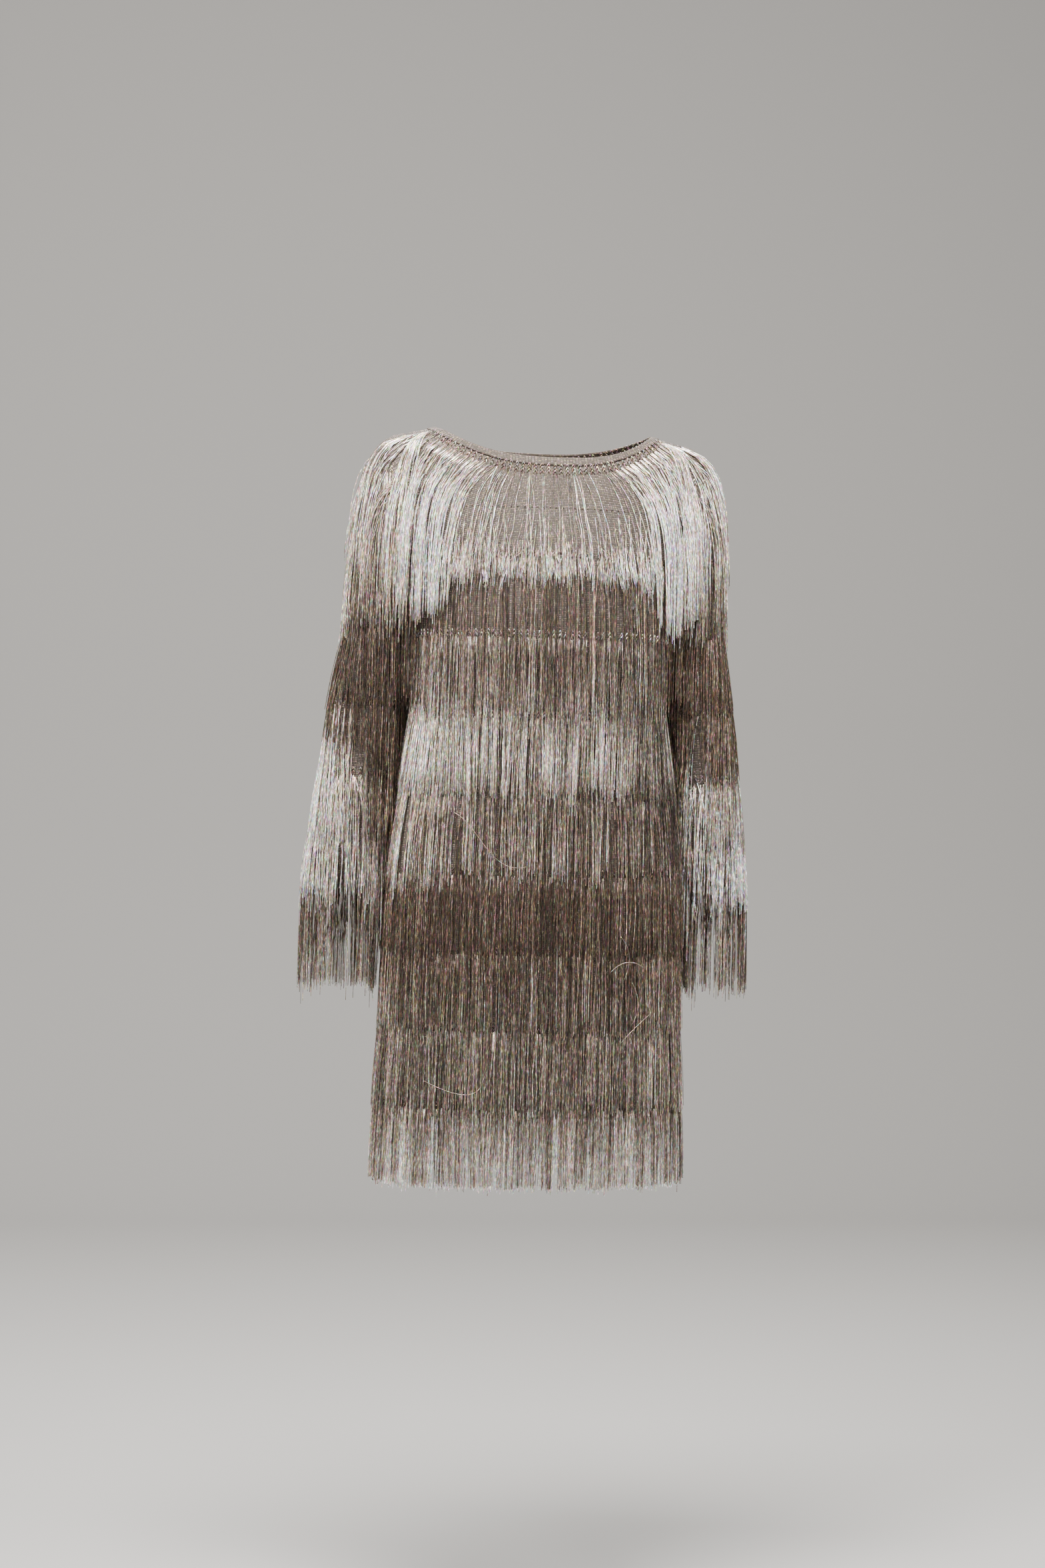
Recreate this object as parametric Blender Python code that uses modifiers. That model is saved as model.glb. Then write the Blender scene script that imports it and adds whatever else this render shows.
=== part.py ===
# Fringed knit mini dress, hollow and in its worn pose, in metres.
# +X is to the viewer's right, -Y is the dress's front and +Z is up.
# The origin lies midway between the shoulder points of the neck edge, where it is held.
# Lengths below are in millimetres, and MM turns them into metres where points are made.
import math
from collections import namedtuple

import bpy
from mathutils import Vector

MM = 0.001
NAME = "mini_dress"

WALL = 1.6              # thickness of the knit
SEAM_GAP = 0.3          # room between two sewn pieces
SEAM_FLAT = 5.0         # width of the level strip beside the shoulder seam
ROUNDNESS = 2.4         # exponent of the body's rounded sections
UNDERARM_Z = -200.0
KNIT_HEM_Z = -812.0
SHOULDER_TIP_Z = -8.0
SHOULDER_SLOPE = 0.216  # fall of the shoulder seam for each step outwards
CROWN_RISE = 15.0       # height of the figure's top between the shoulder points
NECK_HALF = 131.0       # half the width of the neck opening
NECK_FRONT_Z = -37.5
NECK_BACK_Z = -20.0
NECK_CURVE = 2.8        # exponent of the neck edge's rise towards the shoulders
BAND_HEIGHT = 10.0
FRONT_ROLL = 250.0      # height over which the front rounds down from the shoulder
BACK_ROLL = 200.0
CUFF_Z = -540.0

COLUMNS = 19            # strips of wall across the front, and as many across the back
NECK_COLUMN = 8.5       # column that ends at the shoulder point of the neck
SIDE_COLUMN = 9.5       # column of the side seam and of the armhole
SLEEVE_COLUMNS = 16

STRIP_HEIGHT = 6.0      # knotted backing of one tier of fringe
STRIP_RISE = 0.45       # room under the backing
LOCK_RISE = 2.1         # room under a lock where it crosses the next backing
NECK_STRIP_RISE = 1.0
NECK_LOCK_RISE = 2.9
LOCK_THICKNESS = 1.2
TIP_WAVE = 5.0          # how far the tips of one tier's locks stand above and below each other
TIP_TURN = 2.3          # turn of that wave, in radians, from one column to the next
TIER_TURN = 1.7         # and from one tier to the next
LOCK_INSET = 0.09       # share of a column left free at each side of a lock
LIFT_DROP = 20.0        # fall over which a lock lifts clear of its backing
ROW_STEP = 92.0

PROBE = 0.25            # step along a surface by which its slope is felt
HALVINGS = 30           # times that a range is halved to find a height in it
CREASE_ANGLE = 40       # degrees between faces past which an edge is shaded sharp

# edge: where the side seam or the armhole ends the section; half: the section's own half width
BodySection = namedtuple("BodySection", "z edge half front back")
BODY_SECTIONS = [
    BodySection(-920, 184, 184, 101, 103),
    BodySection(-812, 183, 183, 102, 104),
    BodySection(-705, 178, 178, 103, 108),
    BodySection(-610, 176, 176, 104, 112),
    BodySection(-517, 174, 174, 104, 112),
    BodySection(-422, 164, 164, 102, 100),
    BodySection(-330, 152, 152, 106, 88),
    BodySection(-250, 152, 152, 118, 92),
    BodySection(-200, 151, 151, 118, 95),
    BodySection(-190, 149, 153, 118, 95),
    BodySection(-170, 147.5, 156, 118, 95),
    BodySection(-110, 150, 163, 118, 95),
    BodySection(-50, 158, 173, 118, 95),
    BodySection(-8, 168, 180, 118, 95),
    BodySection(20, 168, 180, 118, 95),
]

# x, y: the middle of the right sleeve; left: how much further out the left sleeve's outer side lies
SleeveSection = namedtuple("SleeveSection", "z x y across deep left")
SLEEVE_SECTIONS = [
    SleeveSection(-690, 232, 26, 37.5, 37, 8),
    SleeveSection(-610, 230, 23, 38.5, 38, 8),
    SleeveSection(-540, 225.5, 18, 38, 38, 9),
    SleeveSection(-517, 223, 16, 38.5, 38.5, 9),
    SleeveSection(-422, 211.5, 10, 38.5, 38.5, 9),
    SleeveSection(-328, 200, 5, 38.5, 38.5, 9),
    SleeveSection(-242, 193, 2, 32, 38.5, 6),
    SleeveSection(-200, 191, 2, 32, 38.5, 5),
]
CAP_END_Z = -242.0
CAP_START_PULL = 0.24   # share of a cap column's length that runs outwards from the seam
CAP_END_PULL = 0.63     # share that hangs straight above the first full ring
CAP_START_WAY = Vector((0.99, 0, -0.14))
CAP_END_WAY = Vector((-0.03, 0, 1))
CAP_STEPS = 8
SLEEVE_ROWS = [CAP_END_Z, -287, -332, -373, -414, -454, -494, CUFF_Z]

# share of the way up from the underarm to the shoulder for each row of the upper body
UPPER_ROWS = [0.0, 0.05, 0.16, 0.32, 0.50, 0.68, 0.84, 0.95, 1.0]

# odd: 0 for locks in the even places of the front and the odd ones of the back, 1 the other way round
BodyTier = namedtuple("BodyTier", "name z length odd color")
BODY_TIERS = [
    BodyTier("fringe_3", -250, 182, 0, "silver"),
    BodyTier("fringe_4", -344, 182, 1, "silver"),
    BodyTier("fringe_5", -437, 182, 0, "brown"),
    BodyTier("fringe_6", -528, 182, 1, "brown"),
    BodyTier("fringe_7", -620, 182, 0, "taupe"),
    BodyTier("fringe_8", -710, 180, 1, "taupe"),
    BodyTier("fringe_9", -801, 94, 0, "brown"),
]
NECK_STRIP_START = 1.0  # way down from the panel's top to the neck tier's backing
NECK_LOCK_STEPS = [0.2, 0.5, 1.0]  # levels of a neck lock, as shares of its fall to the chest tier
NECK_TIER_END_Z = -184.0
CHEST_TIER_Z = -158.0
CHEST_TIER_END_Z = -338.0

# first and last: the sleeve's columns between which a tier runs; rise: extra room over the round cap
SleeveTier = namedtuple("SleeveTier", "name z length first last odd rise color")
SLEEVE_TIERS = [
    SleeveTier("fringe_1", -58, 180, 6, 10, 0, 1.0, "silver"),
    SleeveTier("fringe_2", -154, 172, 3, 13, 1, 0.5, "brown"),
    SleeveTier("fringe_3", -242, 166, 0, 16, 0, 0.0, "brown"),
    SleeveTier("fringe_4", -332, 158, 0, 16, 1, 0.0, "silver"),
    SleeveTier("fringe_5", -414, 184, 0, 16, 0, 0.0, "silver"),
    SleeveTier("fringe_6", -494, 168, 0, 16, 1, 0.0, "taupe"),
]

Finish = namedtuple("Finish", "red green blue roughness metallic")
FINISHES = {
    "knit_taupe": Finish(0.115, 0.080, 0.062, 0.78, 0.05),
    "knit_tan": Finish(0.300, 0.225, 0.175, 0.74, 0.05),
    "silver": Finish(0.560, 0.500, 0.450, 0.36, 0.35),
    "brown": Finish(0.120, 0.080, 0.058, 0.40, 0.25),
    "taupe": Finish(0.235, 0.180, 0.145, 0.38, 0.30),
}


def clear_scene():
    for item in list(bpy.data.objects):
        bpy.data.objects.remove(item, do_unlink=True)


def finish_material(finish_name):
    found = bpy.data.materials.get(finish_name)
    if found:
        return found
    finish = FINISHES[finish_name]
    material = bpy.data.materials.new(finish_name)
    material.use_nodes = True
    shader = material.node_tree.nodes["Principled BSDF"]
    shader.inputs["Base Color"].default_value = (finish.red, finish.green, finish.blue, 1)
    shader.inputs["Roughness"].default_value = finish.roughness
    shader.inputs["Metallic"].default_value = finish.metallic
    return material


# A smooth curve through one column of a table, with each row's slope taken from its neighbours.
def read_table(rows, column, z):
    ordered = sorted(rows, key=lambda row: row.z)
    heights = [row.z for row in ordered]
    values = [getattr(row, column) for row in ordered]
    last = len(ordered) - 1
    if z <= heights[0]:
        return values[0]
    if z >= heights[last]:
        return values[last]
    low = max(i for i in range(last) if heights[i] <= z)

    def slope(i):
        before, after = max(i - 1, 0), min(i + 1, last)
        return (values[after] - values[before]) / (heights[after] - heights[before])

    span = heights[low + 1] - heights[low]
    s = (z - heights[low]) / span
    start = (1 + 2 * s) * (1 - s) ** 2 * values[low] + s * (1 - s) ** 2 * span * slope(low)
    end = s * s * (3 - 2 * s) * values[low + 1] - s * s * (1 - s) * span * slope(low + 1)
    return start + end


def shoulder_height(x):
    reach = abs(x)
    if reach >= NECK_HALF:
        return -SHOULDER_SLOPE * (reach - NECK_HALF)
    return CROWN_RISE * (1 - (reach / NECK_HALF) ** 2)


# How far the front (side -1) or the back (side 1) stands from the shoulder line's plane.
def depth_at(side, x, z):
    half = read_table(BODY_SECTIONS, "half", z)
    full = read_table(BODY_SECTIONS, "front" if side < 0 else "back", z)
    share = min(abs(x) / half, 1.0)
    rounded = (1 - share ** ROUNDNESS) ** (1 / ROUNDNESS)
    roll = FRONT_ROLL if side < 0 else BACK_ROLL
    drop = min(max((shoulder_height(x) - z) / (roll + CROWN_RISE), 0.0), 1.0)
    return full * rounded * math.sqrt(1 - (1 - drop) ** 2)


def neck_edge_z(side, column, middle_z, shoulder_z):
    share = min(abs(column) / NECK_COLUMN, 1.0)
    return middle_z + (shoulder_z - middle_z) * share ** NECK_CURVE


# Height where a column of the front or the back ends, at the neck or at the shoulder seam.
def panel_top_z(side, column):
    seam_start = shoulder_height(NECK_HALF + BAND_HEIGHT)
    middle = (NECK_FRONT_Z if side < 0 else NECK_BACK_Z) - BAND_HEIGHT
    beyond = max(abs(column) - NECK_COLUMN, 0.0) / (SIDE_COLUMN - NECK_COLUMN)
    return neck_edge_z(side, column, middle, seam_start) + (SHOULDER_TIP_Z - seam_start) * beyond


def column_share(column, z, top_z):
    turn = math.pi / 2 * min(abs(column) / SIDE_COLUMN, 1.0)
    low_share = math.sin(turn) ** (2 / ROUNDNESS)
    tip_half = read_table(BODY_SECTIONS, "edge", SHOULDER_TIP_Z)
    neck_share = (NECK_HALF + BAND_HEIGHT) / tip_half
    beyond = max(abs(column) - NECK_COLUMN, 0.0) / (SIDE_COLUMN - NECK_COLUMN)
    high_share = neck_share * min(abs(column) / NECK_COLUMN, 1.0) + (1 - neck_share) * beyond
    climb = min(max((z - UNDERARM_Z) / (top_z - UNDERARM_Z), 0.0), 1.0)
    ease = climb * climb * (3 - 2 * climb)
    return math.copysign(low_share + (high_share - low_share) * ease, column)


def panel_point(side, column, z):
    share = column_share(column, z, panel_top_z(side, column))
    x = share * read_table(BODY_SECTIONS, "edge", z)
    return Vector((x, side * depth_at(side, x, z), z))


# Around the whole body: the front's columns from -X to +X, then the back's from +X to -X.
def body_point(turn, z):
    turn = turn % (2 * COLUMNS)
    if turn <= COLUMNS:
        return panel_point(-1, turn - SIDE_COLUMN, z)
    return panel_point(1, COLUMNS + SIDE_COLUMN - turn, z)


def outward(point_at, along, z):
    across = point_at(along + PROBE, z) - point_at(along - PROBE, z)
    upward = point_at(along, z + 4 * PROBE) - point_at(along, z - 4 * PROBE)
    return across.cross(upward).normalized()


# An open sheet becomes a solid wall by Solidify: offset -1 grows it inwards and 1 outwards.
def sheet_object(name, points, faces, thickness, offset, finish_name):
    mesh = bpy.data.meshes.new(name)
    mesh.from_pydata([tuple(point * MM) for point in points], [], faces)
    mesh.shade_smooth()
    mesh.set_sharp_from_angle(angle=math.radians(CREASE_ANGLE))
    mesh.materials.append(finish_material(finish_name))
    item = bpy.data.objects.new(name, mesh)
    bpy.data.collections[NAME].objects.link(item)
    wall = item.modifiers.new("wall", "SOLIDIFY")
    wall.thickness = thickness * MM
    wall.offset = offset
    return item


# Rows of points joined by faces that look outwards when rows climb and points run round the body.
def loft_faces(rows, points_in_row, closed):
    faces = []
    for row in range(rows - 1):
        for start in range(points_in_row if closed else points_in_row - 1):
            after = (start + 1) % points_in_row
            low, high = row * points_in_row, (row + 1) * points_in_row
            faces.append((low + start, low + after, high + after, high + start))
    return faces


def body_rows():
    tier_heights = [tier.z for tier in BODY_TIERS]
    rows = [KNIT_HEM_Z]
    for height in reversed(tier_heights):
        rows.append(height)
        if height - ROW_STEP / 2 > KNIT_HEM_Z:
            rows.append(height - ROW_STEP / 2)
    return sorted(rows)


# The row before the last is level with the shoulder seam, so that both panels meet there squarely.
def level_with_seam(point, column, side):
    if abs(column) >= NECK_COLUMN:
        return Vector((point.x, side * SEAM_FLAT, point.z))
    lower = panel_point(side, column, point.z - SEAM_FLAT / 2)
    return lower.lerp(point, 0.5)


def build_panel(name, side):
    columns = [i - SIDE_COLUMN for i in range(COLUMNS + 1)]
    if side > 0:
        columns.reverse()
    points = []
    rows = 0
    for z in body_rows():
        points += [panel_point(side, column, z) for column in columns]
        rows += 1
    for climb in UPPER_ROWS:
        for column in columns:
            z = UNDERARM_Z + climb * (panel_top_z(side, column) - UNDERARM_Z)
            points.append(panel_point(side, column, z))
        rows += 1
    shoulder_row = points[-len(columns):]
    beside_seam = [level_with_seam(point, column, side) for point, column in zip(shoulder_row, columns)]
    points[-len(columns):] = beside_seam + shoulder_row
    rows += 1
    for point in points:
        if abs(point.y) < SEAM_GAP / 2:
            point.y = side * SEAM_GAP / 2
    sheet_object(name, points, loft_faces(rows, len(columns), False), WALL, -1, "knit_taupe")


def neck_ring_columns():
    front = [(-1, i - NECK_COLUMN) for i in range(int(2 * NECK_COLUMN) + 1)]
    back = [(1, NECK_COLUMN - i) for i in range(1, int(2 * NECK_COLUMN))]
    return front + back


def neck_outer(side, column):
    return panel_point(side, column, panel_top_z(side, column))


def neck_inner(side, column):
    x = NECK_HALF * column / NECK_COLUMN
    z = neck_edge_z(side, column, NECK_FRONT_Z if side < 0 else NECK_BACK_Z, 0.0)
    return Vector((x, side * depth_at(side, x, z), z))


def build_neckband():
    points = []
    shares = [SEAM_GAP / BAND_HEIGHT, 0.5, 1.0]
    for share in shares:
        for side, column in neck_ring_columns():
            points.append(neck_outer(side, column).lerp(neck_inner(side, column), share))
    faces = loft_faces(len(shares), len(neck_ring_columns()), True)
    sheet_object("neckband", points, faces, WALL, 1, "knit_tan")


# The armhole's points for a sleeve: up the front's edge from the underarm, down the back's.
def armhole_points():
    points = []
    for step in range(SLEEVE_COLUMNS):
        up_front = step <= SLEEVE_COLUMNS // 2
        climb = UPPER_ROWS[step if up_front else SLEEVE_COLUMNS - step]
        z = UNDERARM_Z + climb * (SHOULDER_TIP_Z - UNDERARM_Z)
        point = panel_point(-1 if up_front else 1, SIDE_COLUMN, z)
        point.x += 2 * SEAM_GAP if step == 0 else SEAM_GAP
        points.append(point)
    return points


# Both sleeves are worked out on the right; hand is -1 for the one that is then mirrored.
def sleeve_ring_point(hand, turn, z):
    angle = 2 * math.pi * turn / SLEEVE_COLUMNS
    spread = read_table(SLEEVE_SECTIONS, "left", z) / 2 if hand < 0 else 0.0
    across = read_table(SLEEVE_SECTIONS, "across", z) + spread
    x = read_table(SLEEVE_SECTIONS, "x", z) + spread - across * math.cos(angle)
    y = read_table(SLEEVE_SECTIONS, "y", z) - read_table(SLEEVE_SECTIONS, "deep", z) * math.sin(angle)
    return Vector((x, y, z))


# A cap column bends from the seam's outward direction to straight down.
def cap_point(hand, seam, turn, share):
    end = sleeve_ring_point(hand, turn, CAP_END_Z)
    length = (end - seam).length
    first = seam + CAP_START_WAY * length * CAP_START_PULL
    second = end + CAP_END_WAY * length * CAP_END_PULL
    rest = 1 - share
    return rest ** 3 * seam + 3 * rest * rest * share * first + 3 * rest * share * share * second + share ** 3 * end


# A point between two columns of the cap, at a height, found by halving.
def sleeve_point(hand, turn, z):
    if z <= CAP_END_Z:
        return sleeve_ring_point(hand, turn, z)
    seams = armhole_points()
    whole = math.floor(turn)
    part = turn - whole

    def column_at(index):
        seam = seams[index % SLEEVE_COLUMNS]
        low, high = 0.0, 1.0
        for _ in range(HALVINGS):
            middle = (low + high) / 2
            if cap_point(hand, seam, index % SLEEVE_COLUMNS, middle).z > z:
                low = middle
            else:
                high = middle
        return cap_point(hand, seam, index % SLEEVE_COLUMNS, low)

    return column_at(whole).lerp(column_at(whole + 1), part)


def mirrored(points, faces):
    return [Vector((-p.x, p.y, p.z)) for p in points], [tuple(reversed(face)) for face in faces]


def build_sleeve(name, hand):
    seams = armhole_points()
    turns = range(SLEEVE_COLUMNS)
    rows = [[sleeve_ring_point(hand, turn, z) for turn in turns] for z in reversed(SLEEVE_ROWS)]
    for step in range(1, CAP_STEPS + 1):
        share = 1 - step / CAP_STEPS
        rows.append([cap_point(hand, seams[turn], turn, share) for turn in turns])
    points = [point for row in rows for point in row]
    faces = loft_faces(len(rows), SLEEVE_COLUMNS, True)
    if hand < 0:
        points, faces = mirrored(points, faces)
    sheet_object(name, points, faces, WALL, -1, "knit_taupe")


def tip_wave(index, tier_number):
    return TIP_WAVE * math.sin(TIP_TURN * abs(index) + TIER_TURN * tier_number)


def fringe_length(length, index, tier_number):
    return length - TIP_WAVE + tip_wave(index, tier_number)


# The levels of one lock below its root: the end of its lift, the next backing and its tip.
def lock_levels(root_z, end_z, crossing_z, rise):
    levels = [(root_z - LIFT_DROP, rise)]
    if end_z < crossing_z - LIFT_DROP:
        levels.append((crossing_z, rise))
    levels.append((end_z, rise))
    return levels


# A comb of fringe: a backing through the given columns, and a lock below each chosen interval.
class Comb:
    def __init__(self, point_at):
        self.point_at = point_at
        self.points = []
        self.faces = []

    def add_point(self, along, z, rise):
        self.points.append(self.point_at(along, z) + outward(self.point_at, along, z) * rise)
        return len(self.points) - 1

    # Between two whole columns a wall is flat, so a lock's edge is found on that flat.
    def add_between(self, low, high, share, z, rise):
        start = self.point_at(low, z) + outward(self.point_at, low, z) * rise
        end = self.point_at(high, z) + outward(self.point_at, high, z) * rise
        self.points.append(start.lerp(end, share))
        return len(self.points) - 1

    def add_backing(self, columns, closed, top_z, bottom_z, rise):
        upper = [self.add_point(column, top_z(column), rise) for column in columns]
        self.lower = [self.add_point(column, bottom_z(column), rise) for column in columns]
        for start in range(len(columns) if closed else len(columns) - 1):
            after = (start + 1) % len(columns)
            self.faces.append((self.lower[start], self.lower[after], upper[after], upper[start]))

    def add_lock(self, start, after, low, high, levels):
        left, right = self.lower[start], self.lower[after]
        for z, rise in levels:
            next_left = self.add_between(low, high, LOCK_INSET, z, rise)
            next_right = self.add_between(low, high, 1 - LOCK_INSET, z, rise)
            self.faces.append((next_left, next_right, right, left))
            left, right = next_left, next_right


# In a ring, interval i lies between column i and column i + 1, counted from the middle on each side.
def interval_place(interval):
    middle = (COLUMNS - 1) // 2
    if interval < COLUMNS:
        return -1, interval - middle
    return 1, interval - COLUMNS - middle


def build_body_tier(number, tier):
    comb = Comb(body_point)
    bottom_z = tier.z - STRIP_HEIGHT
    comb.add_backing(list(range(2 * COLUMNS)), True, lambda _: tier.z, lambda _: bottom_z, STRIP_RISE)
    for interval in range(2 * COLUMNS):
        side, place = interval_place(interval)
        wanted = tier.odd if side < 0 else 1 - tier.odd
        if abs(place) % 2 != wanted:
            continue
        end_z = tier.z - fringe_length(tier.length, place, number)
        levels = lock_levels(bottom_z, end_z, tier.z - ROW_STEP, LOCK_RISE)
        after = (interval + 1) % (2 * COLUMNS)
        comb.add_lock(interval, after, interval, interval + 1, levels)
    sheet_object(tier.name, comb.points, comb.faces, LOCK_THICKNESS, 1, tier.color)


# On one panel, columns are counted so that they run round the body, as a comb needs them.
def panel_comb(side):
    return Comb(lambda column, z: panel_point(side, column if side < 0 else -column, z))


def panel_columns(reach):
    return [i - reach for i in range(int(2 * reach) + 1)]


# The chest's tier stops at the armholes, so the front and the back have one each.
def build_chest_tier(name, side, odd, widest):
    comb = panel_comb(side)
    columns = panel_columns(NECK_COLUMN)
    bottom_z = CHEST_TIER_Z - STRIP_HEIGHT
    comb.add_backing(columns, False, lambda _: CHEST_TIER_Z, lambda _: bottom_z, STRIP_RISE)
    for start, column in enumerate(columns[:-1]):
        place = round(abs(column + 0.5))
        if place % 2 == odd and place <= widest:
            end_z = CHEST_TIER_END_Z + tip_wave(place, 0)
            levels = lock_levels(bottom_z, end_z, BODY_TIERS[0].z, LOCK_RISE)
            comb.add_lock(start, start + 1, column, column + 1, levels)
    sheet_object(name, comb.points, comb.faces, LOCK_THICKNESS, 1, "brown")


# Height of the point that lies a given way down a panel's column from its top.
def below_top(side, column, way):
    z = panel_top_z(side, column)
    point = panel_point(side, column, z)
    gone = 0.0
    while gone < way:
        z -= PROBE
        following = panel_point(side, column, z)
        gone += (following - point).length
        point = following
    return z


# The neck's tier follows the neck edge, one backing on the front and one on the back.
def build_neck_tier(name, side, odd, widest):
    comb = panel_comb(side)
    columns = panel_columns(NECK_COLUMN - 1)
    bottom_way = NECK_STRIP_START + STRIP_HEIGHT
    comb.add_backing(columns, False, lambda column: below_top(side, column, NECK_STRIP_START),
                     lambda column: below_top(side, column, bottom_way), NECK_STRIP_RISE)
    for start, column in enumerate(columns[:-1]):
        place = round(abs(column + 0.5))
        if place % 2 != odd or place > widest:
            continue
        root_z = below_top(side, min(abs(column), abs(column + 1)), bottom_way)
        heights = [root_z + (CHEST_TIER_Z - root_z) * share for share in NECK_LOCK_STEPS]
        heights.append(NECK_TIER_END_Z + tip_wave(place, 0))
        comb.add_lock(start, start + 1, column, column + 1, [(z, NECK_LOCK_RISE) for z in heights])
    sheet_object(name, comb.points, comb.faces, LOCK_THICKNESS, 1, "silver")


def build_sleeve_tier(number, tier, hand):
    comb = Comb(lambda turn, z: sleeve_point(hand, turn, z))
    closed = tier.last - tier.first == SLEEVE_COLUMNS
    columns = list(range(tier.first, tier.last if closed else tier.last + 1))
    bottom_z = tier.z - STRIP_HEIGHT
    comb.add_backing(columns, closed, lambda _: tier.z, lambda _: bottom_z, STRIP_RISE + tier.rise)
    for start in range(len(columns) if closed else len(columns) - 1):
        column = columns[start]
        if column % 2 != tier.odd:
            continue
        end_z = tier.z - fringe_length(tier.length, column, number)
        crossing_z = SLEEVE_TIERS[number].z if number < len(SLEEVE_TIERS) else end_z
        levels = lock_levels(bottom_z, end_z, crossing_z, LOCK_RISE + tier.rise)
        comb.add_lock(start, (start + 1) % len(columns), column, column + 1, levels)
    points, faces = comb.points, comb.faces
    if hand < 0:
        points, faces = mirrored(points, faces)
    name = ("left_" if hand < 0 else "right_") + tier.name
    sheet_object(name, points, faces, LOCK_THICKNESS, 1, tier.color)


def build_dress():
    clear_scene()
    collection = bpy.data.collections.new(NAME)
    bpy.context.scene.collection.children.link(collection)
    build_panel("front", -1)
    build_panel("back", 1)
    build_neckband()
    build_neck_tier("fringe_1_front", -1, 0, 6)
    build_neck_tier("fringe_1_back", 1, 1, 7)
    build_chest_tier("fringe_2_front", -1, 1, 7)
    build_chest_tier("fringe_2_back", 1, 0, 6)
    for number, tier in enumerate(BODY_TIERS, 3):
        build_body_tier(number, tier)
    for hand, name in ((-1, "sleeve_left"), (1, "sleeve_right")):
        build_sleeve(name, hand)
        for number, tier in enumerate(SLEEVE_TIERS, 1):
            build_sleeve_tier(number, tier, hand)


build_dress()
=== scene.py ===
import math

import bmesh
import bpy
import numpy as np
from mathutils import Euler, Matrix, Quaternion, Vector
from mathutils.bvhtree import BVHTree


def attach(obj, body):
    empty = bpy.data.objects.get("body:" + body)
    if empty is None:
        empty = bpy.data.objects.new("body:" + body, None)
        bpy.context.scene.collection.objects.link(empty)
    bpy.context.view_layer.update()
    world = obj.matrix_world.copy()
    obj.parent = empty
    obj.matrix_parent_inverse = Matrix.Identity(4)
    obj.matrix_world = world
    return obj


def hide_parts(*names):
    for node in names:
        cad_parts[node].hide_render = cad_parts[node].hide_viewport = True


# Mini dress of fine knit with overlapping tiers of thread fringe.
# Lengths in the dictionaries are millimetres, and mm turns them into metres where meshes are made.
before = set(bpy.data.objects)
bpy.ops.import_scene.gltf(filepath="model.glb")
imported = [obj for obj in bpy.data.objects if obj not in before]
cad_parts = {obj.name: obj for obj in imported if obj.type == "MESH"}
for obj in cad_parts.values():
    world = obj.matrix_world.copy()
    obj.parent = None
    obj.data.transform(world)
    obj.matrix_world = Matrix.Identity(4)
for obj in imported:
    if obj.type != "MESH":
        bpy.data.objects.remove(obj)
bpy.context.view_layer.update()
mm = 0.001
print("frame loaded:", len(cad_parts), "nodes")

scene = bpy.context.scene
chance = np.random.default_rng(1926)

# shader helpers


class Wire:  # an output socket that takes part in Python expressions
    def __init__(self, finish, socket):
        self.finish = finish
        self.socket = socket

    def maths(self, operation, first, second=0.0):
        return self.finish.node("Math", {"operation": operation}, {0: first, 1: second})

    def __add__(self, other):
        return self.maths("ADD", self, other)

    def __sub__(self, other):
        return self.maths("SUBTRACT", self, other)

    def __rsub__(self, other):
        return self.maths("SUBTRACT", other, self)

    def __mul__(self, other):
        return self.maths("MULTIPLY", self, other)

    def __pow__(self, other):
        return self.maths("POWER", self, other)

    __radd__ = __add__
    __rmul__ = __mul__

    def fract(self):
        return self.maths("FRACT", self)

    def floor(self):
        return self.maths("FLOOR", self)

    def size(self):
        return self.maths("ABSOLUTE", self)

    def above(self, edge):
        return self.maths("GREATER_THAN", self, edge)


class Finish:  # a material whose nodes come from one method
    def __init__(self, name, roughness, metallic, sheen=0.0):
        self.material = bpy.data.materials.new(name)
        self.material.use_nodes = True
        self.tree = self.material.node_tree
        self.shader = self.tree.nodes["Principled BSDF"]
        self.shader.inputs["Roughness"].default_value = roughness
        self.shader.inputs["Metallic"].default_value = metallic
        self.shader.inputs["Sheen Weight"].default_value = sheen

    def node(self, kind, settings, sockets, output=0):
        made = self.tree.nodes.new("ShaderNode" + kind)
        for key, value in settings.items():
            if key == "stops":
                self.setStops(made.color_ramp, value)
            else:
                setattr(made, key, value)
        for key, value in sockets.items():
            if isinstance(value, Wire):
                self.tree.links.new(value.socket, made.inputs[key])
            else:
                made.inputs[key].default_value = value
        return Wire(self, made.outputs[output])

    def setStops(self, ramp, stops):
        for index, (place, shade) in enumerate(stops):
            if index > 1:
                ramp.elements.new(place)
            ramp.elements[index].position = place
        for index, (place, shade) in enumerate(stops):
            ramp.elements[index].color = (shade, shade, shade, 1)

    def mix(self, factor, first, second, blend="MIX"):
        settings = {"data_type": "RGBA", "blend_type": blend}
        return self.node("Mix", settings, {0: factor, 6: first, 7: second}, 2)

    def feed(self, socket, wire):
        self.tree.links.new(wire.socket, self.shader.inputs[socket])

    def bump(self, height, strength, distance):
        normal = self.node("Bump", {}, {"Height": height, "Strength": strength, "Distance": distance})
        self.feed("Normal", normal)


def shade(red, green, blue):
    return (red, green, blue, 1.0)


# the cut: surfaces that the walls and the fringe lie on

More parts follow.
